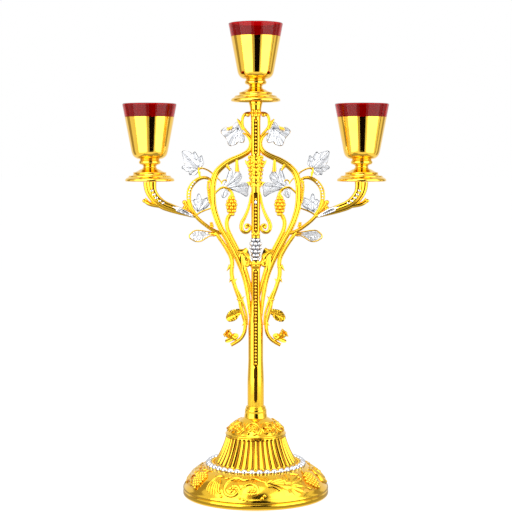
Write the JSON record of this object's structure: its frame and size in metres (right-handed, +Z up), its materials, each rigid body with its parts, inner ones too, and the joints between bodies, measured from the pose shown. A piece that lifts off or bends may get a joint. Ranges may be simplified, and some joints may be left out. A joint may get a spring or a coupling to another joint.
{
  "type": "votive candle stand",
  "caption": "Candle stand with a round foot, turned column and grapevine branches that carry cups with lift-out votive glasses.",
  "frame": {"origin": "on the floor under the middle of the round foot", "axes": "+Z up the column, +X to the viewer's right, the front towards -Y"},
  "size_m": [0.3146, 0.174, 0.5595],
  "materials": {
    "polished_gold_plate": "polished gold plate",
    "silver_plate": "bright silver plate",
    "ruby_glass": "clear ruby",
    "steel": "zinc plated"
  },
  "bodies": {
    "stand": {"base_nut": "steel", "base_washer": "steel", "bell_cap": "polished_gold_plate", "centre_cup": "polished_gold_plate", "centre_drip_pan": "polished_gold_plate", "centre_knop": "polished_gold_plate", "column_collar": "polished_gold_plate", "crown_grapes": "polished_gold_plate", "cup_screws": "steel", "fluted_bell": "polished_gold_plate", "foot": "polished_gold_plate", "left_arm": "polished_gold_plate", "left_branch": "polished_gold_plate", "left_calyx_leaf": "polished_gold_plate", "left_cup": "polished_gold_plate", "left_drip_pan": "polished_gold_plate", "left_grape_bunch": "polished_gold_plate", "left_inner_vine": "polished_gold_plate", "left_knop": "polished_gold_plate", "left_loop_leaf": "silver_plate", "left_loop_vine": "polished_gold_plate", "left_lyre_scroll": "polished_gold_plate", "left_outer_leaf": "silver_plate", "left_oval_leaf": "silver_plate", "left_root_vine": "polished_gold_plate", "left_trefoil_leaf": "silver_plate", "left_twig_flower": "polished_gold_plate", "left_twig_leaf": "polished_gold_plate", "left_upper_curl": "polished_gold_plate", "left_upper_leaf": "silver_plate", "left_vine": "polished_gold_plate", "lower_column": "polished_gold_plate", "pearl_ring": "silver_plate", "right_arm": "polished_gold_plate", "right_branch": "polished_gold_plate", "right_calyx_leaf": "polished_gold_plate", "right_cup": "polished_gold_plate", "right_drip_pan": "polished_gold_plate", "right_grape_bunch": "polished_gold_plate", "right_inner_vine": "polished_gold_plate", "right_knop": "polished_gold_plate", "right_loop_leaf": "silver_plate", "right_loop_vine": "polished_gold_plate", "right_lyre_scroll": "polished_gold_plate", "right_outer_leaf": "silver_plate", "right_oval_leaf": "silver_plate", "right_root_vine": "polished_gold_plate", "right_trefoil_leaf": "silver_plate", "right_twig_flower": "polished_gold_plate", "right_twig_leaf": "polished_gold_plate", "right_upper_curl": "polished_gold_plate", "right_upper_leaf": "silver_plate", "right_vine": "polished_gold_plate", "silver_grapes": "silver_plate", "tie_rod": "steel", "upper_column": "polished_gold_plate"},
    "glass_left": {"left_glass": "ruby_glass"},
    "glass_centre": {"centre_glass": "ruby_glass"},
    "glass_right": {"right_glass": "ruby_glass"}
  },
  "joints": [
    {"name": "left_glass_lift", "type": "slide", "parent": "stand", "child": "glass_left", "axis": [0, 0, 1], "range_m": [0, 0.06]},
    {"name": "centre_glass_lift", "type": "slide", "parent": "stand", "child": "glass_centre", "axis": [0, 0, 1], "range_m": [0, 0.06]},
    {"name": "right_glass_lift", "type": "slide", "parent": "stand", "child": "glass_right", "axis": [0, 0, 1], "range_m": [0, 0.06]}
  ]
}
